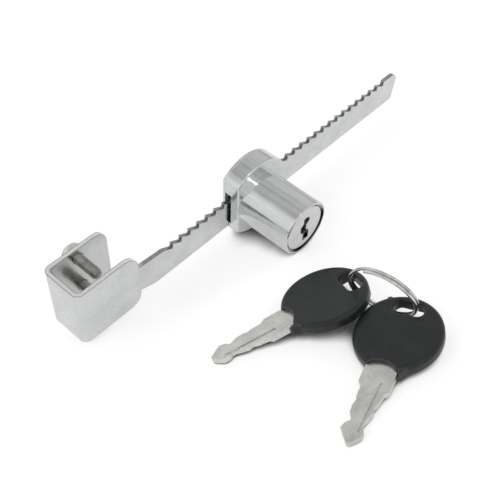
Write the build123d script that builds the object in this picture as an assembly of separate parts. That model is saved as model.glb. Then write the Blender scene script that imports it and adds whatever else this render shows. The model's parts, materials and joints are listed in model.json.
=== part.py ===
from build123d import *
import os
from math import atan2, cos, degrees, dist, pi, radians, sin, sqrt

os.makedirs("parts", exist_ok=True)

# Sizes in mm. The lock is drawn level: X along the bar to its tip, Y from the keyhole to the glass, Z up.
# The origin is the middle of the web's inner face, where the edge of the glass sits.
past = 1.0  # how far a cutting shape runs past what it cuts
fuse = 0.1  # how far two shapes that are one piece run into each other

# Hook and ratchet bar, one bent strip
strip = 1.4
glass_channel = 12.0
hook_height = 21.0
front_plate = 21.8
back_plate = 21.9
bend_inner = 1.0
top_straight = 1.35
front_low_corner = 4.2
neck_corner = 8.4
back_corner = 4.0
bar_reach = 145.6
bar_lift = 3.1
bar_width = 10.95
shoulder_rise = 0.8
neck_rise = 1.9
neck_run = 5.7
tooth_depth = 1.7
tooth_pitch = 3.65
first_tooth = 35.26
tip_plain = 6.0
tooth_rake = 0.25
tip_slant = 1.9
tip_top_corner = 3.0
tip_low_corner = 0.8

# Clamp screws through the back plate, placed from the web's outer face and from the hook's lower edge
clamp_radius = 1.75
clamp_length = 10.0
clamp_head_radius = 3.5
clamp_head_height = 2.8
clamp_head_round = 1.65
clamp_turn = 35
clamp_thread_pitch = 0.6
clamp_thread_depth = 0.3
clamp_play = 0.08
clamp_recess_width = 0.9
clamp_recess_length = 3.6
clamp_recess_depth = 1.3
clamp_from_web = 11.35
upper_screw_height = 17.25
lower_screw_height = 5.2

# Head: round base, barrel and rear cover. Depths in the head run from the bar's front face along Y.
head_pitches = 9
axis_below_crest = 1.68
base_radius = 13.25
base_flat = 9.0
base_front = -3.95
base_rear = 1.5
barrel_radius = 9.0
barrel_length = 19.3
edge_round = 0.6
recess_radius = 8.4
recess_depth = 1.6
cover_thickness = 0.8
bar_play = 0.1
slot_headroom = 2.87
front_relief = 0.9
relief_lift = 1.7

# Plug with its flange, clip groove and eccentric pin
plug_radius = 6.0
plug_play = 0.05
flange_radius = 7.75
flange_thickness = 1.15
flange_round = 0.5
bore_wall_end = -7.35
plug_end = -6.15
pocket_radius = 7.2
groove_radius = 5.0
groove_width = 0.6
clip_thickness = 0.5
clip_radius = 6.85
clip_opening = 60
clip_play = 0.05
pawl_lift = 1.8
pin_radius = 1.1
pin_end = -0.8
keyway_end = -7.75
keyway_half = 4.3
keyway_lobe = 1.9
keyway_slit = 0.65
keyway_lobe_from = 2.0
keyway_slope = 0.9
keyway_tip = 0.1
keyway_left_half = 1.2
keyway_left_slope = 1.0
keyway_left_gap = 0.2
mouth_low = 5.3
mouth_depth = 1.0

# Wafers and their springs
wafer_count = 5
wafer_first = -19.15
wafer_pitch = 2.4
wafer_thickness = 0.9
wafer_slot = 1.0
wafer_half = 5.7
wafer_left = 3.75
wafer_right = 2.0
ledge_right = 3.75
ledge_low = 0.6
wafer_play = 0.1
window_half = 1.35
well_radius = 0.8
well_x = 2.95
well_low = -3.0
wafer_coil_radius = 0.525
wafer_coil_wire = 0.125
wafer_coil_pitch = 0.95
wafer_travel = 0.8
wafer_groove_half = 4.1
wafer_groove_spare = 0.3
ledge_bite = 0.5

# Pawl over the bar and its spring, heights from the plug's axis
pawl_tip = 2.0
pawl_half = 4.9
pawl_top = 8.8
pawl_front = -2.2
pawl_rear = 1.3
pawl_play = 0.2
leg_half = 3.6
leg_low = -3.6
leg_top = 4.8
leg_front = -3.9
leg_rear = -0.5
pin_slot_half = 2.3
pin_slot_play = 0.25
spring_hole_radius = 1.35
spring_hole_low = 5.8
coil_radius = 1.02
coil_wire = 0.175
coil_pitch = 1.0
coil_y = -0.45
coil_play = 0.05
pocket_top = 11.0

# Cover screws, places from the plug's axis
cover_screw_radius = 1.0
cover_screw_head = 1.7
cover_screw_length = 3.5
cover_screw_play = 0.06
cover_screws_at = [(-6.9, 7.6), (6.9, 7.6), (0, -11.1)]
cover_slot_width = 0.4
cover_slot_depth = 0.3

# Keys: bow centre at the origin, tip towards -X, flat side up
bow_long = 12.75
bow_wide = 12.2
bow_thickness = 4.0
bow_round = 1.2
bow_slot_x = 8.5
bow_slot_long = 4.6
bow_slot_wide = 8.6
bow_slot_corner = 1.8
bow_slot_round = 0.6
root_bite = 10.3
root_radius = 5.9
lug_radius = 0.9
lug_thickness = 2.4
left_lugs = [(10.6, -5.2)]
right_lugs = [(10.6, 6.2)]
horn = [(-10.8, -4.6), (-13.6, -4.65), (-13.4, -5.1), (-10.5, -6.7)]
horn_thickness = 3.0
blade_thickness = 1.7
blade_root = 4.4
tang_start = -14.3
tang_end = 3.0
tang_half = 3.2
tang_play = 0.05
groove_depth = 0.5
groove_from = -32.0
groove_to = -16.5
groove_low = -2.3
groove_high = -1.5
bitted_edge = [(-17.6, 4.1), (-19.1, 2.9), (-22.1, 2.8), (-23.3, 2.35), (-24.8, 2.7), (-27.1, 2.5)]
bitted_edge += [(-29.3, 1.3), (-30.6, 2.5), (-32.2, 2.9), (-34.0, 1.4), (-35.7, 0.0)]
plain_edge = [(-35.7, -0.9), (-33.1, -3.0), (-31.3, -2.9), (-30.3, -2.0), (-29.3, -1.9), (-27.6, -2.5)]
plain_edge += [(-25.7, -3.1), (-24.1, -2.6), (-23.0, -3.2), (-19.6, -3.6), (-18.8, -4.6)]

# Split ring
ring_radius = 9.92
ring_wire = 0.47
ring_pitch = 1.39
ring_jog = 30

# Places of the loose key set: x, y, height over the table, then turns in degrees
left_key_at = (49.5, -51.3, 4.7)
left_key_turns = (-22.1, -6.1, -9.2)
right_key_at = (51.2, -74.8, 3.45)
right_key_turns = (15.0, -3.9, -2.4)
ring_at = (56.3, -66.3, 10.4)
ring_tilt = 75.2
ring_heading = 8.3
ring_spin = 140

# Derived places
half_channel = glass_channel / 2
bar_front = -half_channel - strip
web_outer = -strip
hook_low = -hook_height / 2
bar_low = hook_low + bar_lift
crest_z = bar_low + bar_width
root_z = crest_z - tooth_depth
tip_x = web_outer + bar_reach
front_top_corner = hook_height - bar_lift - bar_width - shoulder_rise - top_straight
tooth_count = int((bar_reach - first_tooth - tip_plain) / tooth_pitch) + 1
crest_x = [web_outer + first_tooth + i * tooth_pitch for i in range(tooth_count)]
head_x = crest_x[0] - tooth_rake + head_pitches * tooth_pitch
axis_z = crest_z - axis_below_crest
barrel_front = base_front - barrel_length
recess_floor = barrel_front + recess_depth
slot_low = bar_low - axis_z - bar_play
slot_top = axis_below_crest + slot_headroom
tooth_base = pawl_tip + tooth_depth
bore_radius = plug_radius + plug_play
pin_offset = pawl_lift / 2
clip_front = bore_wall_end + 2 * clip_play
wafer_groove_reach = plug_radius + wafer_travel + wafer_groove_spare
wafer_groove_inner = sqrt(bore_radius**2 - wafer_groove_half**2) - wafer_play
root_centre = -root_bite - root_radius
lean = degrees(atan2(base_radius - barrel_radius, barrel_length))
edge_lift = edge_round * (sin(radians(lean)) + cos(radians(lean)) - 1)
base_edge_y = bar_front + base_front
base_edge_z = axis_z - base_radius
table_z = base_edge_y * sin(radians(lean)) + base_edge_z * cos(radians(lean)) + edge_lift


def block(x0, x1, y0, y1, z0, z1):
    return Pos((x0 + x1) / 2, (y0 + y1) / 2, (z0 + z1) / 2) * Box(x1 - x0, y1 - y0, z1 - z0)


def along_y(face, y0, y1):
    return extrude(Plane.XZ.offset(-y1) * face, amount=y1 - y0)


def rod(radius, x, z, y0, y1):
    return along_y(Pos(x, z) * Circle(radius), y0, y1)


def outline(points):
    return make_face(Polyline(*points, close=True))


def round_corner(face, corner, radius):
    return fillet(face.vertices().sort_by_distance(Vector(*corner, 0))[0], radius)


def round_rim(shape, y, rim):
    # rounds every edge that lies in one plane across Y
    return fillet([e for e in shape.edges() if abs(e.center().Y - y) < 0.01], rim)


# Ratchet bar
def bar_teeth():
    points = []
    for x in reversed(crest_x):
        points.append((x, crest_z))
        points.append((x - tooth_rake, root_z))
    return points


def front_profile():
    plate_x = web_outer + front_plate
    shoulder_z = crest_z + shoulder_rise
    neck_z = bar_low + neck_rise
    points = [(web_outer - strip, hook_low), (plate_x, hook_low), (plate_x, neck_z)]
    points += [(plate_x + neck_run, bar_low), (tip_x - tip_slant, bar_low), (tip_x, crest_z)]
    points += bar_teeth()
    points += [(crest_x[0] - tooth_pitch, crest_z), (plate_x, shoulder_z)]
    points += [(plate_x, -hook_low), (web_outer - strip, -hook_low)]
    face = outline(points)
    face = round_corner(face, (plate_x, hook_low), front_low_corner)
    face = round_corner(face, (plate_x, -hook_low), front_top_corner)
    face = round_corner(face, (plate_x + neck_run, bar_low), neck_corner)
    face = round_corner(face, (tip_x, crest_z), tip_top_corner)
    return round_corner(face, (tip_x - tip_slant, bar_low), tip_low_corner)


def back_profile():
    plate_x = web_outer + back_plate
    points = [(web_outer - strip, hook_low), (plate_x, hook_low)]
    points += [(plate_x, -hook_low), (web_outer - strip, -hook_low)]
    face = outline(points)
    face = round_corner(face, (plate_x, hook_low), back_corner)
    return round_corner(face, (plate_x, -hook_low), back_corner)


def bent_strip():
    outer_half = half_channel + strip
    far = tip_x + strip
    corners = [(web_outer, -outer_half), (far, -outer_half), (far, outer_half), (web_outer, outer_half)]
    outer = outline(corners)
    outer = round_corner(outer, (web_outer, -outer_half), bend_inner + strip)
    outer = round_corner(outer, (web_outer, outer_half), bend_inner + strip)
    inner = outline([(0, -half_channel), (far, -half_channel), (far, half_channel), (0, half_channel)])
    inner = round_corner(inner, (0, -half_channel), bend_inner)
    inner = round_corner(inner, (0, half_channel), bend_inner)
    return extrude(Pos(0, 0, hook_low) * (outer - inner), amount=hook_height)


def screw_place(height):
    return web_outer + clamp_from_web, hook_low + height


def ratchet_bar():
    front = bent_strip() & along_y(front_profile(), bar_front - past, 0)
    back = bent_strip() & along_y(back_profile(), 0, half_channel + strip + past)
    shape = front + back
    for height in (upper_screw_height, lower_screw_height):
        x, z = screw_place(height)
        shape -= rod(clamp_radius + clamp_play, x, z, half_channel - past, half_channel + strip + past)
    return shape


def clamp_screw(height):
    x, z = screw_place(height)
    seat = half_channel + strip
    tip = seat - clamp_length
    head = rod(clamp_head_radius, 0, 0, 0, clamp_head_height)
    head = round_rim(head, clamp_head_height, clamp_head_round)
    shape = head + rod(clamp_radius, 0, 0, tip - seat, fuse)
    groove = rod(clamp_radius + past, 0, 0, 0, clamp_thread_pitch / 2)
    groove -= rod(clamp_radius - clamp_thread_depth, 0, 0, -past, clamp_thread_pitch)
    turns = int((clamp_length - clamp_thread_pitch) / clamp_thread_pitch)
    for i in range(turns):
        shape -= Pos(0, tip - seat + (i + 0.5) * clamp_thread_pitch, 0) * groove
    half = clamp_recess_length / 2
    wide = clamp_recess_width / 2
    floor = clamp_head_height - clamp_recess_depth
    shape -= block(-half, half, floor, clamp_head_height + past, -wide, wide)
    shape -= block(-wide, wide, floor, clamp_head_height + past, -half, half)
    return Pos(x, seat, z) * Rot(Y=clamp_turn) * shape


# Head, drawn round the plug's axis with the bar's front face at Y 0
def base_disc(y0, y1):
    disc = rod(base_radius, 0, 0, y0, y1)
    wide = base_radius + past
    return disc & block(-base_flat, wide, y0 - past, y1 + past, -wide, wide)


def lock_housing():
    base = round_rim(base_disc(base_front, base_rear), base_front, edge_round)
    barrel = rod(barrel_radius, 0, 0, barrel_front, base_front + fuse)
    barrel = round_rim(barrel, barrel_front, edge_round)
    shape = base + barrel
    shape -= rod(recess_radius, 0, 0, barrel_front - past, recess_floor)
    shape -= rod(bore_radius, 0, 0, barrel_front, bore_wall_end + past)
    shape -= rod(pocket_radius, 0, 0, bore_wall_end, -front_relief)
    wide = base_radius + past
    rear = base_rear + past
    shape -= block(-wide, wide, -bar_play, rear, slot_low, slot_top)
    shape -= block(-wide, wide, -front_relief, 0, slot_low + relief_lift, slot_top)
    pocket = pawl_half + pawl_play
    shape -= block(-pocket, pocket, pawl_front - pawl_play, rear, 0, pocket_top)
    groove_from_y = wafer_first - wafer_slot
    groove_to_y = wafer_first + (wafer_count - 1) * wafer_pitch + wafer_slot
    for side in (-1, 1):
        low, high = sorted((side * wafer_groove_inner, side * wafer_groove_reach))
        shape -= block(-wafer_groove_half, wafer_groove_half, groove_from_y, groove_to_y, low, high)
    for x, z in cover_screws_at:
        end = base_rear + cover_thickness - cover_screw_length - cover_screw_play
        shape -= rod(cover_screw_radius + cover_screw_play, x, z, end, rear)
    return shape


def cover_screw(x, z):
    rear = base_rear + cover_thickness
    shape = rod(cover_screw_radius, x, z, rear - cover_screw_length, rear)
    depth = cover_screw_head - cover_screw_radius
    cone = Cone(cover_screw_radius, cover_screw_head, depth)
    shape += Pos(x, rear - depth / 2, z) * Rot(X=-90) * cone
    slot = block(x - cover_screw_head, x + cover_screw_head, rear - cover_slot_depth, rear + past,
                 z - cover_slot_width / 2, z + cover_slot_width / 2)
    return shape - slot


def rear_cover():
    rear = base_rear + cover_thickness
    shape = base_disc(base_rear, rear)
    depth = cover_screw_head - cover_screw_radius
    for x, z in cover_screws_at:
        shape -= rod(cover_screw_radius + cover_screw_play, x, z, base_rear - past, rear + past)
        sink = Cone(cover_screw_radius + cover_screw_play, cover_screw_head + cover_screw_play, depth)
        shape -= Pos(x, rear - depth / 2, z) * Rot(X=-90) * sink
    return shape


def keyway_outline():
    # zigzag slit: lobes to the right at the top, left in the middle, right at the bottom
    k, s, h = keyway_lobe, keyway_slit, keyway_half
    lobe_high = h - keyway_slope
    slit_half = keyway_lobe_from - keyway_slope
    left_half = keyway_left_half
    left_end = left_half + keyway_left_slope
    left_top = h - keyway_left_gap
    right = [(s - keyway_tip, h), (k, lobe_high), (k, keyway_lobe_from), (s, slit_half)]
    right += [(x, -z) for x, z in reversed(right)]
    left = [(-s, -left_top), (-s, -left_end), (-k, -left_half)]
    left += [(x, -z) for x, z in reversed(left)]
    return outline(right + left)


def turned(i, shape):
    return Rot(Y=180 * (i % 2)) * shape


def wafer_y(i):
    return wafer_first + i * wafer_pitch


def plug():
    flange_rear = recess_floor - plug_play
    flange_front = flange_rear - flange_thickness
    shape = rod(flange_radius, 0, 0, flange_front, flange_rear)
    shape = round_rim(shape, flange_front, flange_round)
    shape += rod(plug_radius, 0, 0, flange_rear - fuse, plug_end)
    groove_mid = clip_front + clip_thickness / 2
    groove_from_y = groove_mid - groove_width / 2
    groove_to_y = groove_mid + groove_width / 2
    groove = rod(plug_radius + past, 0, 0, groove_from_y, groove_to_y)
    shape -= groove - rod(groove_radius, 0, 0, groove_from_y - past, groove_to_y + past)
    shape += rod(pin_radius, 0, pin_offset, plug_end - fuse, pin_end)
    shape -= along_y(keyway_outline(), flange_front - past, keyway_end)
    # the key's mouth in the flange runs on below the keyway
    shape -= block(-keyway_slit, keyway_lobe, flange_front - past, flange_front + mouth_depth,
                   -mouth_low, -keyway_lobe_from)
    for i in range(wafer_count):
        y0 = wafer_y(i) - wafer_slot / 2
        y1 = wafer_y(i) + wafer_slot / 2
        tall = plug_radius + past
        cut = block(-wafer_left - wafer_play, wafer_right + wafer_play, y0, y1, -tall, tall)
        cut += block(wafer_right, ledge_right + wafer_play, y0, y1, ledge_low - wafer_play, tall)
        well_height = ledge_low - well_low
        well = Pos(well_x, wafer_y(i), well_low + well_height / 2) * Cylinder(well_radius, well_height)
        shape -= turned(i, cut + well)
    return shape


def retaining_clip():
    y0 = clip_front
    y1 = y0 + clip_thickness
    shape = rod(clip_radius, 0, 0, y0, y1) - rod(groove_radius + clip_play, 0, 0, y0 - past, y1 + past)
    half = radians(clip_opening / 2)
    reach = 2 * clip_radius
    wide, low = reach * sin(half), -reach * cos(half)
    wedge = outline([(0, 0), (wide, low), (-wide, low)])
    return shape - along_y(wedge, y0 - past, y1 + past)


def wafer(i):
    y0 = wafer_y(i) - wafer_thickness / 2
    y1 = wafer_y(i) + wafer_thickness / 2
    body = block(-wafer_left, wafer_right, y0, y1, -wafer_half, wafer_half)
    body += block(wafer_right - ledge_bite, ledge_right, y0, y1, ledge_low, wafer_half)
    body &= rod(plug_radius - wafer_play, 0, 0, y0 - past, y1 + past)
    body -= block(-window_half, window_half, y0 - past, y1 + past, -keyway_half, keyway_half)
    return turned(i, body)


def coil(name, radius, wire, pitch, height):
    # one unbroken tube of round wire, its least gap to itself measured on points one turn apart
    path = Helix(pitch=pitch, height=height, radius=radius)
    shape = sweep(Plane(origin=path @ 0, z_dir=path % 0) * Circle(wire), path=path)
    per_turn = 24
    steps = int(per_turn * height / pitch)
    points = [path @ (j / steps) for j in range(steps)]
    far = [(a - b).length for j, a in enumerate(points) for b in points[j + per_turn // 2:]]
    print(f"{name}: least gap to itself {min(far) - 2 * wire:.2f} mm")
    return shape


def wafer_spring(i):
    low = well_low + wafer_play + wafer_coil_wire
    high = ledge_low - wafer_play / 2 - wafer_coil_wire
    shape = coil(f"wafer spring {i + 1}", wafer_coil_radius, wafer_coil_wire, wafer_coil_pitch, high - low)
    return turned(i, Pos(well_x, wafer_y(i), low) * shape)


def pawl():
    half, top = pawl_half, pawl_top
    p = tooth_pitch
    points = [(-half, top), (half, top), (half, tooth_base)]
    for tip in (p, 0, -p):
        points += [(tip + tooth_rake, tooth_base), (tip, pawl_tip)]
        slope_end = max(tip - p + tooth_rake, -half)
        points.append((slope_end, tooth_base))
    if points[-1][0] > -half:
        points.append((-half, tooth_base))
    clean = [q for j, q in enumerate(points) if j == 0 or dist(q, points[j - 1]) > 0.01]
    body = along_y(outline(clean), pawl_front, pawl_rear)
    leg = block(-leg_half, leg_half, leg_front, leg_rear, leg_low, leg_top)
    slot_half = pin_radius + pin_slot_play
    leg -= block(-pin_slot_half, pin_slot_half, leg_front - past, leg_rear + past,
                 pin_offset - slot_half, pin_offset + slot_half)
    body -= block(-half - past, half + past, pawl_front - past, leg_rear, pawl_tip - past, tooth_base)
    shape = body + leg
    hole_high = top - spring_hole_low + past
    shape -= Pos(0, coil_y, spring_hole_low + hole_high / 2) * Cylinder(spring_hole_radius, hole_high)
    return shape


def pawl_spring():
    low = spring_hole_low + coil_play + coil_wire
    high = pocket_top - coil_play - coil_wire
    shape = coil("pawl spring", coil_radius, coil_wire, coil_pitch, high - low)
    return Pos(0, coil_y, low) * shape


# Keys
def tang(play):
    return block(tang_start, tang_end + play, -tang_half - play, tang_half + play,
                 -blade_thickness / 2 - play, blade_thickness / 2 + play)


def key_blade():
    # the root end is an arc that the bow's mouth follows
    half = blade_thickness / 2
    face = outline([(-root_bite, blade_root)] + bitted_edge + plain_edge + [(-root_bite, -blade_root)])
    shape = extrude(Pos(0, 0, -half) * face, amount=blade_thickness)
    mouth = Pos(root_centre, 0, 0) * Cylinder(root_radius - tang_play, 2 * blade_thickness)
    far = block(-bow_long * 4, root_centre, -bow_wide, bow_wide, -half, half)
    shape &= mouth + far
    shape += tang(0)
    for turn in (0, 180):
        cut = block(groove_from, groove_to, groove_low, groove_high, half - groove_depth, half + past)
        shape -= Rot(X=turn) * cut
    return shape


def slot_rims(bow):
    # the slot's edges on both faces of the bow
    reach = bow_slot_wide / 2 + past
    edges = []
    for edge in bow.edges():
        place = edge.center()
        on_face = abs(abs(place.Z) - bow_thickness / 2) < 0.01
        if on_face and abs(place.X - bow_slot_x) < bow_slot_long and abs(place.Y) < reach:
            edges.append(edge)
    return edges


def key_bow(lugs):
    half = bow_thickness / 2
    shape = extrude(Pos(0, 0, -half) * Ellipse(bow_long, bow_wide), amount=bow_thickness)
    shape = fillet([e for e in shape.edges() if abs(abs(e.center().Z) - half) < 0.01], bow_round)
    for x, y in lugs:
        shape += Pos(x, y, 0) * Cylinder(lug_radius, lug_thickness)
    shape += extrude(Pos(0, 0, -horn_thickness / 2) * outline(horn), amount=horn_thickness)
    shape -= Pos(root_centre, 0, 0) * Cylinder(root_radius, 2 * bow_thickness)
    slot = RectangleRounded(bow_slot_long, bow_slot_wide, bow_slot_corner)
    shape -= extrude(Pos(bow_slot_x, 0, -bow_thickness) * slot, amount=2 * bow_thickness)
    shape = fillet(slot_rims(shape), bow_slot_round)
    return shape - tang(tang_play)


def split_ring():
    # two flat turns of wire joined by a short jog
    r, h = ring_radius, ring_pitch / 2
    jog = radians(ring_jog)

    def on_ring(angle, z):
        return (r * cos(angle), r * sin(angle), z)

    start, stop = 0.0, 2 * pi - jog
    low = ThreePointArc(on_ring(start, -h), on_ring(stop / 2, -h), on_ring(stop, -h))
    high = ThreePointArc(on_ring(0, h), on_ring(stop / 2, h), on_ring(stop, h))
    rise = Spline(low @ 1, high @ 0, tangents=[low % 1, high % 0])
    path = Wire([*low.edges(), *rise.edges(), *high.edges()])
    shape = sweep(Plane(origin=low @ 0, z_dir=low % 0) * Circle(ring_wire), path=path)
    points = [low @ (j / 60) for j in range(61)] + [rise @ (j / 12) for j in range(1, 12)]
    points += [high @ (j / 60) for j in range(61)]
    far = [(a - b).length for j, a in enumerate(points) for b in points[j + 6:]]
    print(f"key ring: least gap to itself {min(far) - 2 * ring_wire:.2f} mm")
    return shape


def on_table(at, turns, shape):
    heading, pitch, roll = turns
    place = Pos(at[0], at[1], table_z + at[2]) * Rot(Z=heading) * Rot(Y=pitch) * Rot(X=roll)
    return place * shape


def in_lock(shape):
    return Rot(X=lean) * shape


def in_head(shape):
    return in_lock(Pos(head_x, bar_front, axis_z) * shape)


def build():
    nodes = {
        "ratchet_bar": in_lock(ratchet_bar()),
        "clamp_screw_upper": in_lock(clamp_screw(upper_screw_height)),
        "clamp_screw_lower": in_lock(clamp_screw(lower_screw_height)),
        "lock_housing": in_head(lock_housing()),
        "rear_cover": in_head(rear_cover()),
        "cover_screws": Compound([in_head(cover_screw(x, z)) for x, z in cover_screws_at]),
        "plug": in_head(plug()),
        "retaining_clip": in_head(retaining_clip()),
        "pawl": in_head(pawl()),
        "pawl_spring": in_head(pawl_spring()),
    }
    for i in range(wafer_count):
        nodes[f"wafer_{i + 1}"] = in_head(wafer(i))
        nodes[f"wafer_spring_{i + 1}"] = in_head(wafer_spring(i))
    nodes["left_key_blade"] = on_table(left_key_at, left_key_turns, key_blade())
    nodes["left_key_bow"] = on_table(left_key_at, left_key_turns, key_bow(left_lugs))
    nodes["right_key_blade"] = on_table(right_key_at, right_key_turns, key_blade())
    nodes["right_key_bow"] = on_table(right_key_at, right_key_turns, key_bow(right_lugs))
    ring = Rot(Z=ring_spin) * split_ring()
    nodes["key_ring"] = on_table(ring_at, (ring_heading, ring_tilt, 0), ring)
    return nodes


for name, shape in build().items():
    solids = len(shape.solids())
    print(f"{name}: {solids} solid, {shape.volume:.1f} mm3")
    export_step(shape, f"parts/{name}.step")
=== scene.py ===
import json
from math import cos, pi, radians, sin

import bmesh
import bpy
from mathutils import Matrix, Vector


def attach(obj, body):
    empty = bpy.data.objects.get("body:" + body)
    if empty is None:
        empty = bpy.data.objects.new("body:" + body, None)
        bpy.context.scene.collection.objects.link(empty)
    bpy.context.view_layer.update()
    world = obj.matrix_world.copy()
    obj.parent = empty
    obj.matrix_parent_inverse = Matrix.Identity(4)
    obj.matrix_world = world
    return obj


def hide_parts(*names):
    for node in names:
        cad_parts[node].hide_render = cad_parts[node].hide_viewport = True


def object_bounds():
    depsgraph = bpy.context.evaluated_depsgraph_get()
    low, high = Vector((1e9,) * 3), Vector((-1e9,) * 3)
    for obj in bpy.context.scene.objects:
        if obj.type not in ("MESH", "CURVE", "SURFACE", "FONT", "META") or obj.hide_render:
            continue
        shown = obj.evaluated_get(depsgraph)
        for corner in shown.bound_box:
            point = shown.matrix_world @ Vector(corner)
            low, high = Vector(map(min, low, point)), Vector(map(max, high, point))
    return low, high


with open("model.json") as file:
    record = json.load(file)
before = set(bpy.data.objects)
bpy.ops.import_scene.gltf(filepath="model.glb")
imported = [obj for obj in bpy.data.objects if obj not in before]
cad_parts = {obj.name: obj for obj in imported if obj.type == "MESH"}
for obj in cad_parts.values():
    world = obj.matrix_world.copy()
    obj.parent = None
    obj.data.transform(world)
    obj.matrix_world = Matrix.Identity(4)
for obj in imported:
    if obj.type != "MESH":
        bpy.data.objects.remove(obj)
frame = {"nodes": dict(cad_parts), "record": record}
cadBox = [list(corner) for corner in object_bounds()]
mm = 0.001
hair = 0.001 * mm  # the slack when edges are picked by their place
mergeReach = 0.002 * mm  # points closer than this become one
tableZ = cadBox[0][2]
lean = radians(12.4185)  # the lock leans forward on its barrel's rim
levelBack = (0, cos(lean), sin(lean))  # away from the keyhole, across the strip's sheet
levelUp = (0, -sin(lean), cos(lean))
print("frame loaded, table at", round(tableZ / mm, 3), "mm")


# Small helpers for modelling by operators
def selectOnly(obj):
    if bpy.context.object and bpy.context.object.mode != "OBJECT":
        bpy.ops.object.mode_set(mode="OBJECT")
    bpy.ops.object.select_all(action="DESELECT")
    obj.select_set(True)
    bpy.context.view_layer.objects.active = obj


def startPrimitive(add, name, **values):
    if bpy.context.object and bpy.context.object.mode != "OBJECT":
        bpy.ops.object.mode_set(mode="OBJECT")
    bpy.ops.object.select_all(action="DESELECT")
    add(**values)
    obj = bpy.context.object
    obj.name = name
    obj.data.name = name
    return obj


def pick(obj, kind, test):
    # goes to edit mode with the faces, edges or vertices that pass the test selected
    selectOnly(obj)
    bpy.ops.object.mode_set(mode="EDIT")
    bpy.ops.mesh.select_mode(type=kind)
    bpy.ops.mesh.select_all(action="DESELECT")
    shape = bmesh.from_edit_mesh(obj.data)
    for item in {"FACE": shape.faces, "EDGE": shape.edges, "VERT": shape.verts}[kind]:
        if test(item):
            item.select_set(True)
    bmesh.update_edit_mesh(obj.data)


def toObject():
    bpy.ops.object.mode_set(mode="OBJECT")


def applyModifier(obj, kind, **values):
    selectOnly(obj)
    modifier = obj.modifiers.new(kind.lower(), kind)
    for key, value in values.items():
        setattr(modifier, key, value)
    bpy.ops.object.modifier_apply(modifier=modifier.name)


def cutAway(obj, cutter):
    applyModifier(obj, "BOOLEAN", operation="DIFFERENCE", object=cutter, solver="EXACT")
    bpy.data.objects.remove(cutter)


def joinInto(obj, others):
    selectOnly(obj)
    for other in others:
        other.select_set(True)
    bpy.ops.object.join()


def cleanNormals(obj):
    pick(obj, "FACE", lambda face: True)
    bpy.ops.mesh.remove_doubles(threshold=mergeReach)
    bpy.ops.mesh.normals_make_consistent(inside=False)
    toObject()


def smooth(obj, degrees):
    selectOnly(obj)
    bpy.ops.object.shade_smooth_by_angle(angle=radians(degrees))


def applyPlace(obj, at, turns):
    selectOnly(obj)
    obj.location = [v * mm for v in at]
    obj.rotation_euler = [radians(v) for v in turns]
    bpy.ops.object.transform_apply(location=True, rotation=True, scale=True)


def copyPiece(obj, name):
    twin = obj.copy()
    twin.data = obj.data.copy()
    twin.name = name
    bpy.context.scene.collection.objects.link(twin)
    return twin


def levelToFrame(x, y, z):
    # a place on the level lock, in mm, to its place on the leaning one
    return x, y * cos(lean) - z * sin(lean), y * sin(lean) + z * cos(lean)


# Materials
def addNode(tree, kind, **values):
    node = tree.nodes.new(kind)
    for key, value in values.items():
        setattr(node, key, value)
    return node


def noiseOf(tree, coords, scale, detail, stretch=(1, 1, 1)):
    mapping = addNode(tree, "ShaderNodeMapping")
    mapping.inputs["Scale"].default_value = stretch
    noise = addNode(tree, "ShaderNodeTexNoise")
    noise.inputs["Scale"].default_value = scale
    noise.inputs["Detail"].default_value = detail
    noise.inputs["Roughness"].default_value = 0.55
    tree.links.new(coords, mapping.inputs["Vector"])
    tree.links.new(mapping.outputs["Vector"], noise.inputs["Vector"])
    return noise.outputs["Fac"]


def spread(tree, value, low, high, fromLow=0.3, fromHigh=0.7):
    # stretches the range between fromLow and fromHigh to low and high, and clamps it there
    node = addNode(tree, "ShaderNodeMapRange")
    node.inputs["From Min"].default_value = fromLow
    node.inputs["From Max"].default_value = fromHigh
    node.inputs["To Min"].default_value = low
    node.inputs["To Max"].default_value = high
    tree.links.new(value, node.inputs["Value"])
    return node.outputs["Result"]


def mixColours(tree, factor, first, second):
    node = addNode(tree, "ShaderNodeMix", data_type="RGBA")
    for socket, value in ((node.inputs[6], first), (node.inputs[7], second)):
        if isinstance(value, (tuple, list)):
            socket.default_value = (*value, 1)
        else:
            tree.links.new(value, socket)
    tree.links.new(factor, node.inputs[0])
    return node.outputs[2]


def combine(tree, first, second, operation):
    node = addNode(tree, "ShaderNodeMath", operation=operation)
    for socket, value in ((node.inputs[0], first), (node.inputs[1], second)):
        if isinstance(value, (int, float)):
            socket.default_value = value
        else:
            tree.links.new(value, socket)
    return node.outputs[0]


def dotWith(tree, vector, direction):
    node = addNode(tree, "ShaderNodeVectorMath", operation="DOT_PRODUCT")
    tree.links.new(vector, node.inputs[0])
    node.inputs[1].default_value = direction
    return node.outputs["Value"]


def opennessWithin(tree, reach, samples):
    # 1 in the open and less where faces stand close together
    node = addNode(tree, "ShaderNodeAmbientOcclusion", samples=samples)
    node.inputs["Distance"].default_value = reach * mm
    return node.outputs["AO"]


def startFinish(name):
    material = bpy.data.materials.new(name)
    material.use_nodes = True
    tree = material.node_tree
    shader = tree.nodes["Principled BSDF"]
    coords = addNode(tree, "ShaderNodeTexCoord").outputs["Object"]
    return material, tree, shader, coords


def edgeMask(tree, radius):
    # 1 where two faces meet within the radius, from the rounded and the true normal
    rounded = addNode(tree, "ShaderNodeBevel", samples=6)
    rounded.inputs["Radius"].default_value = radius * mm
    geometry = addNode(tree, "ShaderNodeNewGeometry")
    dot = addNode(tree, "ShaderNodeVectorMath", operation="DOT_PRODUCT")
    tree.links.new(rounded.outputs["Normal"], dot.inputs[0])
    tree.links.new(geometry.outputs["Normal"], dot.inputs[1])
    return rounded.outputs["Normal"], spread(tree, dot.outputs["Value"], 1, 0, 0.9, 0.995)


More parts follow.
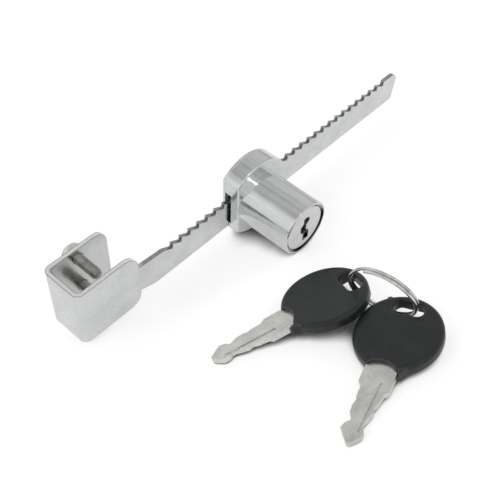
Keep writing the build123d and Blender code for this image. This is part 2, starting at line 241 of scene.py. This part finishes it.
def addBumps(tree, shader, layers, normal=None):
    # layers are (height value, depth in micrometres), coarse first
    for value, depth in layers:
        bump = addNode(tree, "ShaderNodeBump")
        bump.inputs["Strength"].default_value = 1
        bump.inputs["Distance"].default_value = depth * 0.000001
        tree.links.new(value, bump.inputs["Height"])
        if normal is not None:
            tree.links.new(normal, bump.inputs["Normal"])
        normal = bump.outputs["Normal"]
    tree.links.new(normal, shader.inputs["Normal"])


def drawnLines(tree, coords, look, base):
    # faint lines along the barrel: the noise is stretched along the axis of the leaning lock
    along = addNode(tree, "ShaderNodeMapping", vector_type="TEXTURE")
    along.inputs["Rotation"].default_value = (lean, 0, 0)
    along.inputs["Scale"].default_value = (1, look["lineStretch"], 1)
    tree.links.new(coords, along.inputs["Vector"])
    lines = noiseOf(tree, along.outputs["Vector"], look["lineScale"], 4)
    darker = [look["lineTone"] * value for value in look["spot"]]
    return mixColours(tree, spread(tree, lines, 0, look["drawn"], 0.42, 0.7), base, darker)


def paintedHeadHighlight(tree, coords, look, base):
    # painted highlight: the screw's head, behind the hook's plate, is painted brighter than its thread
    low, high = look["plateBack"]
    share = spread(tree, dotWith(tree, coords, levelBack), 0, look["headHighlightShare"], low * mm, high * mm)
    return mixColours(tree, share, base, look["headHighlightTone"])


def cutEdges(tree, coords, look, edges, base):
    # the strip's cut edges: dark and torn at the teeth; on the hook a painted white highlight with painted dark
    # reflection lines at the edges
    normal = addNode(tree, "ShaderNodeNewGeometry").outputs["Normal"]
    place = addNode(tree, "ShaderNodeSeparateXYZ")
    tree.links.new(coords, place.inputs[0])
    across = combine(tree, dotWith(tree, normal, levelBack), 0, "ABSOLUTE")
    # the web's faces look along the bar too, but they are sheet and no cut edge
    webFrom, webTo = look["pastWeb"]
    pastWeb = spread(tree, place.outputs["X"], 0, 1, webFrom * mm, webTo * mm)
    facing = combine(tree, combine(tree, dotWith(tree, normal, levelUp), 0, "ABSOLUTE"), pastWeb, "MAXIMUM")
    cut = combine(tree, spread(tree, across, 1, 0, 0.25, 0.6), spread(tree, facing, 0, 1, 0.4, 0.7), "MULTIPLY")
    streaks = noiseOf(tree, coords, look["streakScale"], 3, look["streakStretch"])
    shear = mixColours(tree, spread(tree, streaks, 0, 1), look["shearDark"], look["shearLight"])
    hookEnd, barStart = look["barFrom"]
    alongBar = spread(tree, place.outputs["X"], 0, 1, hookEnd * mm, barStart * mm)
    # painted highlight on the hook's cut faces, with painted dark reflection lines along their edges
    rimmed = mixColours(tree, spread(tree, edges, 0, 1, 0.05, 0.4), look["paintedTopHighlight"], look["rim"])
    return mixColours(tree, cut, base, mixColours(tree, alongBar, rimmed, shear))


def platedMetal(name, look):
    # bright plating over stamped or cast metal: cloudy patches, soft ripple, fine grain and rubbed edges
    material, tree, shader, coords = startFinish(name)
    clouds = noiseOf(tree, coords, look["cloudScale"], 4)
    spots = noiseOf(tree, coords, look["spotScale"], 5)
    grain = noiseOf(tree, coords, look["grainScale"], 2)
    rounded, edges = edgeMask(tree, look["edge"])
    toned = mixColours(tree, spread(tree, clouds, 0, 1), look["dark"], look["light"])
    colour = mixColours(tree, spread(tree, spots, 0, look["spotting"], 0.56, 0.72), toned, look["spot"])
    if "drawn" in look:
        colour = drawnLines(tree, coords, look, colour)
    # painted highlight on the screw heads
    if "headHighlightTone" in look:
        colour = paintedHeadHighlight(tree, coords, look, colour)
    colour = mixColours(tree, spread(tree, edges, 0, look["rubbing"], 0, 1), colour, look["rubbed"])
    if "shearDark" in look:
        colour = cutEdges(tree, coords, look, edges, colour)
    if "recess" in look:
        # painted shade: the narrow keyway darkens towards its bottom, where faces stand close
        depth = opennessWithin(tree, look["recess"], 8)
        colour = mixColours(tree, spread(tree, depth, 0, 1, 0.45, 0.8), look["recessTone"], colour)
    tree.links.new(colour, shader.inputs["Base Color"])
    shader.inputs["Metallic"].default_value = 1
    low, high = look["roughness"]
    rough = spread(tree, combine(tree, clouds, grain, "MULTIPLY"), low, high, 0.1, 0.4)
    tree.links.new(rough, shader.inputs["Roughness"])
    addBumps(tree, shader, [(clouds, look["ripple"]), (grain, look["grainDepth"])], rounded)
    return material


# lengths are in mm, bump depths in micrometres; a noise scale is in patches per metre
strip = {"cloudScale": 150, "spotScale": 900, "grainScale": 5200, "edge": 0.3, "spotting": 0.4, "rubbing": 0.6,
         "dark": (0.68, 0.695, 0.685), "light": (0.80, 0.815, 0.805), "spot": (0.56, 0.57, 0.56),
         "rubbed": (0.74, 0.75, 0.74), "roughness": (0.15, 0.33), "ripple": 70, "grainDepth": 2.6}
# the hook's white cut-face tone is a painted highlight and its dark edge tone a painted reflection
bent = dict(strip, edge=0.45, shearDark=(0.26, 0.265, 0.26), shearLight=(0.5, 0.505, 0.495),
            paintedTopHighlight=(0.98, 0.98, 0.97), rim=(0.13, 0.135, 0.13), pastWeb=(2, 3), barFrom=(19, 23),
            streakScale=2400, streakStretch=(1, 0.12, 1))
cast = {"cloudScale": 110, "spotScale": 1300, "grainScale": 6500, "edge": 0.2, "spotting": 0.25, "rubbing": 0.6,
        "dark": (0.69, 0.705, 0.70), "light": (0.80, 0.815, 0.81), "spot": (0.58, 0.59, 0.59),
        "rubbed": (0.78, 0.78, 0.77), "roughness": (0.1, 0.2), "ripple": 30, "grainDepth": 1.2,
        "drawn": 0.35, "lineScale": 1500, "lineStretch": 30, "lineTone": 0.82}
# the keyway's dark tone is painted shade
flange = {"cloudScale": 240, "spotScale": 2100, "grainScale": 9000, "edge": 0.14, "spotting": 0.3,
          "dark": (0.66, 0.66, 0.65), "light": (0.82, 0.82, 0.81), "spot": (0.42, 0.42, 0.41),
          "rubbed": (0.78, 0.77, 0.76), "rubbing": 0.6, "roughness": (0.26, 0.4), "ripple": 18,
          "grainDepth": 1.6, "recess": 2.0, "recessTone": (0.03, 0.03, 0.028)}
turnedSteel = {"cloudScale": 500, "spotScale": 1700, "grainScale": 9000, "edge": 0.08, "spotting": 0.4,
               "dark": (0.28, 0.28, 0.26), "light": (0.52, 0.515, 0.48), "spot": (0.12, 0.12, 0.11),
               "rubbed": (0.75, 0.74, 0.7), "rubbing": 0.6, "roughness": (0.24, 0.4), "ripple": 9,
               "grainDepth": 1.2}
# the screw head's brighter tone is a painted highlight
zincScrew = dict(turnedSteel, headHighlightTone=(0.86, 0.86, 0.84), headHighlightShare=0.75, plateBack=(7.0, 7.4))
keyBlank = {"cloudScale": 190, "spotScale": 1150, "grainScale": 4200, "edge": 0.18, "spotting": 0.6,
            "dark": (0.64, 0.635, 0.61), "light": (0.84, 0.835, 0.80), "spot": (0.44, 0.435, 0.41),
            "rubbed": (0.86, 0.85, 0.82), "rubbing": 0.6, "roughness": (0.24, 0.42), "ripple": 60,
            "grainDepth": 5}
wire = {"cloudScale": 420, "spotScale": 1900, "grainScale": 8000, "edge": 0.05, "spotting": 0.4, "rubbing": 0.6,
        "dark": (0.58, 0.575, 0.55), "light": (0.82, 0.815, 0.79), "spot": (0.36, 0.355, 0.33),
        "rubbed": (0.82, 0.81, 0.78), "roughness": (0.1, 0.22), "ripple": 12, "grainDepth": 1}
stampedSteel = {"cloudScale": 260, "spotScale": 1500, "grainScale": 7000, "edge": 0.1, "spotting": 0.4,
                "dark": (0.36, 0.36, 0.35), "light": (0.48, 0.48, 0.47), "spot": (0.24, 0.24, 0.23),
                "rubbed": (0.66, 0.66, 0.64), "rubbing": 0.6, "roughness": (0.28, 0.45), "ripple": 14,
                "grainDepth": 2}
stampedBrass = {"cloudScale": 260, "spotScale": 1500, "grainScale": 7000, "edge": 0.1, "spotting": 0.3,
                "dark": (0.56, 0.40, 0.16), "light": (0.72, 0.54, 0.26), "spot": (0.40, 0.27, 0.1),
                "rubbed": (0.84, 0.68, 0.4), "rubbing": 0.6, "roughness": (0.24, 0.42), "ripple": 14,
                "grainDepth": 2}
stripPlating = platedMetal("stripPlating", bent)
housingPlating = platedMetal("housingPlating", cast)
coverPlating = platedMetal("coverPlating", strip)
plugPlating = platedMetal("plugPlating", flange)
clampSteel = platedMetal("clampSteel", zincScrew)
coverScrewSteel = platedMetal("coverScrewSteel", turnedSteel)
keySteel = platedMetal("keySteel", keyBlank)
ringSteel = platedMetal("ringSteel", wire)
springSteel = platedMetal("springSteel", wire)
pawlSteel = platedMetal("pawlSteel", stampedSteel)
waferBrass = platedMetal("waferBrass", stampedBrass)


def mouldedPlastic(name, look):
    # charcoal moulding: faint clouds, handled scuffs, a fine pitted grain and a painted highlight along the
    # edges
    material, tree, shader, coords = startFinish(name)
    clouds = noiseOf(tree, coords, look["cloudScale"], 4)
    scuffs = noiseOf(tree, coords, look["scuffScale"], 6, look["scuffStretch"])
    grain = noiseOf(tree, coords, look["grainScale"], 3)
    toned = mixColours(tree, spread(tree, clouds, 0, 1), look["dark"], look["light"])
    scuffed = mixColours(tree, spread(tree, scuffs, 0, look["scuffing"], 0.55, 0.75), toned, look["scuffed"])
    rounded, edges = edgeMask(tree, look["edge"])
    # painted highlight: the edges are lighter all round
    rimmed = mixColours(tree, edges, scuffed, look["rim"])
    tree.links.new(rimmed, shader.inputs["Base Color"])
    low, high = look["roughness"]
    tree.links.new(spread(tree, combine(tree, clouds, scuffs, "MULTIPLY"), low, high, 0.1, 0.4),
                   shader.inputs["Roughness"])
    shader.inputs["Specular IOR Level"].default_value = look["gloss"]
    addBumps(tree, shader, [(clouds, look["ripple"]), (grain, look["grainDepth"])], rounded)
    return material


# the bows' lighter edge tone is a painted highlight
bowPlastic = mouldedPlastic("bowPlastic", {
    "cloudScale": 260, "scuffScale": 700, "scuffStretch": (1, 2.4, 1), "grainScale": 5200,
    "dark": (0.007, 0.0085, 0.0092), "light": (0.015, 0.0168, 0.018), "scuffed": (0.034, 0.037, 0.039),
    "rim": (0.06, 0.065, 0.07), "scuffing": 0.45, "roughness": (0.28, 0.44), "gloss": 0.45,
    "ripple": 34, "grainDepth": 10, "edge": 0.8})
print("materials made")

finishes = {"strip_plating": stripPlating, "housing_plating": housingPlating, "cover_plating": coverPlating,
            "plug_plating": plugPlating, "clamp_steel": clampSteel, "screw_steel": coverScrewSteel,
            "key_steel": keySteel, "ring_steel": ringSteel, "spring_steel": springSteel,
            "pawl_steel": pawlSteel, "wafer_brass": waferBrass, "bow_plastic": bowPlastic}
for part in frame["record"]["subparts"]:
    node = frame["nodes"][part["node"]]
    if not node.material_slots:
        node.data.materials.append(None)
    for slot in node.material_slots:
        slot.material = finishes[part["material_slot"]]


# Clamp screws: domed cross-slot head, core and a rolled thread, made once and copied
clampScrew = {"headRadius": 3.5, "headHeight": 2.8, "domeRound": 1.65, "length": 10.0, "core": 1.42,
              "outer": 1.75, "pitch": 0.6, "crossLong": 3.6, "crossWide": 0.9, "crossDeep": 1.3,
              "crossFloor": 0.55, "crossProud": 0.1, "tipBevel": 0.3, "plainLength": 1.0, "tipLength": 0.6,
              "ridgeHalf": 0.44, "ridgeSink": 0.7, "crestPush": 0.3, "stepsPerTurn": 28, "roundSides": 48,
              "turn": 35, "seat": 7.4,
              "places": {"clamp_screw_upper": (9.95, 6.75), "clamp_screw_lower": (9.95, -5.3)}}


def threadedScrew(name, s):
    # made upright: the head's seat at height 0, the head above and the thread below
    tall, long = s["headHeight"], s["length"]
    head = startPrimitive(bpy.ops.mesh.primitive_cylinder_add, name, vertices=s["roundSides"],
                          radius=s["headRadius"] * mm, depth=tall * mm, location=(0, 0, tall / 2 * mm))
    pick(head, "EDGE", lambda edge: all(v.co.z > tall / 2 * mm - hair for v in edge.verts))
    bpy.ops.mesh.bevel(offset=s["domeRound"] * mm, segments=10, profile=0.5, affect="EDGES", clamp_overlap=True)
    toObject()
    bpy.ops.object.transform_apply(location=True)
    for quarter in range(2):
        cutter = startPrimitive(bpy.ops.mesh.primitive_cube_add, "crossCutter", size=mm,
                                location=(0, 0, (tall - s["crossDeep"] / 2 + s["crossProud"]) * mm))
        cutter.scale = (s["crossLong"], s["crossWide"], s["crossDeep"] + 2 * s["crossProud"])
        cutter.rotation_euler = (0, 0, quarter * pi / 2)
        bpy.ops.object.transform_apply(location=True, rotation=True, scale=True)
        bottom = (tall - s["crossDeep"] + s["crossProud"] / 2) * mm
        pick(cutter, "FACE", lambda face: face.calc_center_median().z < bottom)
        bpy.ops.transform.resize(value=(s["crossFloor"], s["crossFloor"], 1))
        toObject()
        cutAway(head, cutter)
    core = startPrimitive(bpy.ops.mesh.primitive_cylinder_add, "screwCore", vertices=s["roundSides"],
                          radius=s["core"] * mm, depth=long * mm, location=(0, 0, -long / 2 * mm))
    pick(core, "EDGE", lambda edge: all(v.co.z < -long / 2 * mm + hair for v in edge.verts))
    bpy.ops.mesh.bevel(offset=s["tipBevel"] * mm, segments=2, affect="EDGES")
    toObject()
    bpy.ops.object.transform_apply(location=True)
    # the thread: a four-sided ridge with its crest pushed in, wound up from the tip
    turns = int((long - s["plainLength"]) / s["pitch"])
    steps = s["stepsPerTurn"] * turns
    half = s["pitch"] * s["ridgeHalf"]
    middle = s["outer"] - half * s["ridgeSink"]
    ridge = startPrimitive(bpy.ops.mesh.primitive_circle_add, "threadRidge", vertices=4, radius=half * mm,
                           rotation=(pi / 2, 0, 0), location=(middle * mm, 0, -(long - s["tipLength"]) * mm))
    bpy.ops.object.transform_apply(location=True, rotation=True)
    pick(ridge, "VERT", lambda vert: vert.co.x > (middle + half / 2) * mm)
    bpy.ops.transform.translate(value=(-half * s["crestPush"] * mm, 0, 0))
    toObject()
    applyModifier(ridge, "SCREW", axis="Z", angle=2 * pi * turns, screw_offset=turns * s["pitch"] * mm,
                  steps=steps, render_steps=steps, use_merge_vertices=False)
    pick(ridge, "EDGE", lambda edge: edge.is_boundary)
    bpy.ops.mesh.edge_face_add()
    toObject()
    joinInto(head, [core, ridge])
    cleanNormals(head)
    smooth(head, 32)
    return head


screwMaster = threadedScrew("clampScrewUpperBody", clampScrew)
screwTwin = copyPiece(screwMaster, "clampScrewLowerBody")
crossTurn = Matrix.Rotation(radians(clampScrew["turn"]), 4, "Z")
layBack = Matrix.Rotation(lean - pi / 2, 4, "X")  # the upright axis to level +Y, then forward with the lock
for node, piece in {"clamp_screw_upper": screwMaster, "clamp_screw_lower": screwTwin}.items():
    x, z = clampScrew["places"][node]
    place = [v * mm for v in levelToFrame(x, clampScrew["seat"], z)]
    piece.matrix_world = Matrix.Translation(place) @ layBack @ crossTurn
    selectOnly(piece)
    bpy.ops.object.transform_apply(location=True, rotation=True, scale=True)
    piece.data.materials.append(clampSteel)
    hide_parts(node)
    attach(piece, "upper_clamp" if node == "clamp_screw_upper" else "lower_clamp")
print("clamp screws made")


# Split ring: two turns of round wire side by side, with a short crossing between them
splitRing = {"radius": 9.92, "wire": 0.46, "pitch": 0.96, "jog": 50, "spin": 157, "ends": 0.25,
             "at": (56.3, -66.3, 10.4), "turns": (0, 75.2, 8.3), "steps": 220, "section": 20}


def wireRing(name, s):
    sweep = radians(2 * (360 - s["jog"]) + s["jog"])
    ring = startPrimitive(bpy.ops.mesh.primitive_circle_add, name, vertices=s["section"], radius=s["wire"] * mm,
                          rotation=(pi / 2, 0, 0), location=(s["radius"] * mm, 0, 0))
    bpy.ops.object.transform_apply(location=True, rotation=True)
    applyModifier(ring, "SCREW", axis="Z", angle=sweep, screw_offset=0, steps=s["steps"],
                  render_steps=s["steps"], use_merge_vertices=False)
    # the wire's rings of points lie in order along the sweep, and rise smoothly in the crossing
    lowEnd = radians(360 - s["jog"])
    crossing = radians(s["jog"])
    for index, vert in enumerate(ring.data.vertices):
        angle = sweep * (index // s["section"]) / s["steps"]
        share = min(max((angle - lowEnd) / crossing, 0), 1)
        rise = share * share * (3 - 2 * share)
        vert.co.z += (rise - 0.5) * s["pitch"] * mm
    pick(ring, "EDGE", lambda edge: edge.is_boundary)
    bpy.ops.mesh.edge_face_add()
    bpy.ops.mesh.bevel(offset=s["ends"] * mm, segments=3, affect="EDGES")
    toObject()
    cleanNormals(ring)
    smooth(ring, 40)
    ring.data.transform(Matrix.Rotation(radians(s["spin"]), 4, "Z"))
    x, y, z = s["at"]
    applyPlace(ring, (x, y, tableZ / mm + z), s["turns"])
    return ring


keyRing = wireRing("splitRingWire", splitRing)
keyRing.data.materials.append(ringSteel)
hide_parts("key_ring")
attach(keyRing, "ring")
print("split ring made")


# Stage: pale floor, pale surroundings, soft lamps and the camera at the photograph's angle
stage = {"floorSize": 6.0, "floorColour": 0.86, "floorRoughness": 0.8, "floorGloss": 0.1, "floorGlow": 1.28,
         "mirroredGlow": 0.9, "glowShare": 0.52, "contactReach": 12.0, "contactShade": 0.04,
         "contactFrom": 0.2, "contactTo": 0.5}
white = (1, 1, 1, 1)
floor = startPrimitive(bpy.ops.mesh.primitive_plane_add, "floor", size=stage["floorSize"],
                       location=(0, 0, tableZ))
bpy.ops.object.transform_apply(location=True)
floorPaint = bpy.data.materials.new("floorPaint")
floorPaint.use_nodes = True
tree = floorPaint.node_tree
paint = tree.nodes["Principled BSDF"]
paint.inputs["Roughness"].default_value = stage["floorRoughness"]
paint.inputs["Specular IOR Level"].default_value = stage["floorGloss"]
glow = addNode(tree, "ShaderNodeEmission")
glow.inputs["Color"].default_value = white
path = addNode(tree, "ShaderNodeLightPath")
glowLevel = spread(tree, path.outputs["Is Glossy Ray"], stage["floorGlow"], stage["mirroredGlow"], 0, 1)
# painted shadow: right under the pieces the floor's colour and glow go dark
contact = opennessWithin(tree, stage["contactReach"], 16)
openness = spread(tree, contact, stage["contactShade"], 1, stage["contactFrom"], stage["contactTo"])
shade = mixColours(tree, openness, (0, 0, 0), (stage["floorColour"],) * 3)
tree.links.new(shade, paint.inputs["Base Color"])
litFloor = combine(tree, openness, path.outputs["Is Glossy Ray"], "MAXIMUM")
tree.links.new(combine(tree, glowLevel, litFloor, "MULTIPLY"), glow.inputs["Strength"])
seen = combine(tree, path.outputs["Is Camera Ray"], path.outputs["Is Glossy Ray"], "MAXIMUM")
seen = combine(tree, seen, path.outputs["Is Transmission Ray"], "MAXIMUM")
share = combine(tree, seen, stage["glowShare"], "MULTIPLY")
blend = addNode(tree, "ShaderNodeMixShader")
tree.links.new(share, blend.inputs[0])
tree.links.new(paint.outputs[0], blend.inputs[1])
tree.links.new(glow.outputs[0], blend.inputs[2])
tree.links.new(blend.outputs[0], tree.nodes["Material Output"].inputs["Surface"])
floor.data.materials.append(floorPaint)

world = bpy.data.worlds.new("studio")
bpy.context.scene.world = world
world.use_nodes = True
tree = world.node_tree
sky = tree.nodes["Background"]
coords = addNode(tree, "ShaderNodeTexCoord").outputs["Generated"]
split = addNode(tree, "ShaderNodeSeparateXYZ")
tree.links.new(coords, split.inputs[0])
ramp = addNode(tree, "ShaderNodeValToRGB")
tree.links.new(split.outputs["Z"], ramp.inputs["Fac"])
# heights of the surroundings and how pale they are: a dark gap at the table's far edge, pale walls and a
# grey ceiling; to the right the walls are a little darker and the gap is closed
bands = [(0.0, 0.06), (0.10, 0.10), (0.19, 0.86), (0.66, 0.9), (0.80, 0.80), (0.91, 0.46), (1.0, 0.58)]
surroundings = {"rightWall": 0.72, "rightWallFrom": 0.6, "rightFoot": 0.7, "rightFootFrom": 0.3}
while len(ramp.color_ramp.elements) < len(bands):
    ramp.color_ramp.elements.new(0.5)
for element, (position, level) in zip(ramp.color_ramp.elements, bands):
    element.position = position
    element.color = (level, level, level, 1)
rightSide = spread(tree, split.outputs["X"], 1.0, surroundings["rightWall"], 0, surroundings["rightWallFrom"])
rightFoot = spread(tree, split.outputs["X"], 0, surroundings["rightFoot"], 0, surroundings["rightFootFrom"])
paleness = combine(tree, ramp.outputs["Color"], rightFoot, "MAXIMUM")
tree.links.new(combine(tree, paleness, rightSide, "MULTIPLY"), sky.inputs["Strength"])
sky.inputs["Color"].default_value = white
plain = addNode(tree, "ShaderNodeBackground")
plain.inputs["Color"].default_value = white
path = addNode(tree, "ShaderNodeLightPath")
blend = addNode(tree, "ShaderNodeMixShader")
tree.links.new(path.outputs["Is Camera Ray"], blend.inputs[0])
tree.links.new(sky.outputs[0], blend.inputs[1])
tree.links.new(plain.outputs[0], blend.inputs[2])
tree.links.new(blend.outputs[0], tree.nodes["World Output"].inputs["Surface"])

# each lamp's place and size in metres, its watts, and whether the metal mirrors it
lamps = {"leftBox": ((-0.60, 0.10, 0.55), 0.5, 1.5, False),
         "rightBox": ((0.75, -0.30, 0.20), 0.25, 1.8, False),
         "frontBox": ((0.06, -0.55, 0.66), 0.07, 0.09, True),
         "backBox": ((0.20, 0.70, 0.55), 0.5, 1.0, False)}
lampsAim = Vector((0.06, -0.03, 0))
for name, (place, size, watts, mirrored) in lamps.items():
    lampData = bpy.data.lights.new(name, "AREA")
    lampData.size = size
    lampData.energy = watts
    lamp = bpy.data.objects.new(name, lampData)
    lamp.location = place
    lamp.visible_glossy = mirrored
    lamp.rotation_euler = (lampsAim - Vector(place)).to_track_quat("-Z", "Y").to_euler()
    bpy.context.scene.collection.objects.link(lamp)

view = {"at": (-77.333, -172.381, 166.287), "lens": 63.572, "sensor": 36, "near": 0.01,
        "right": (0.67414, -0.72631, -0.13423), "up": (0.55426, 0.37734, 0.74190),
        "ahead": (0.48820, 0.57454, -0.65694)}
cameraData = bpy.data.cameras.new("photoCamera")
cameraData.lens = view["lens"]
cameraData.sensor_width = view["sensor"]
cameraData.clip_start = view["near"]
camera = bpy.data.objects.new("photoCamera", cameraData)
turn = Matrix((view["right"], view["up"], [-v for v in view["ahead"]])).transposed()
camera.matrix_world = Matrix.Translation([v * mm for v in view["at"]]) @ turn.to_4x4()
bpy.context.scene.collection.objects.link(camera)
bpy.context.scene.camera = camera
bpy.context.scene.view_settings.view_transform = "Standard"
print("stage, lamps and camera set")
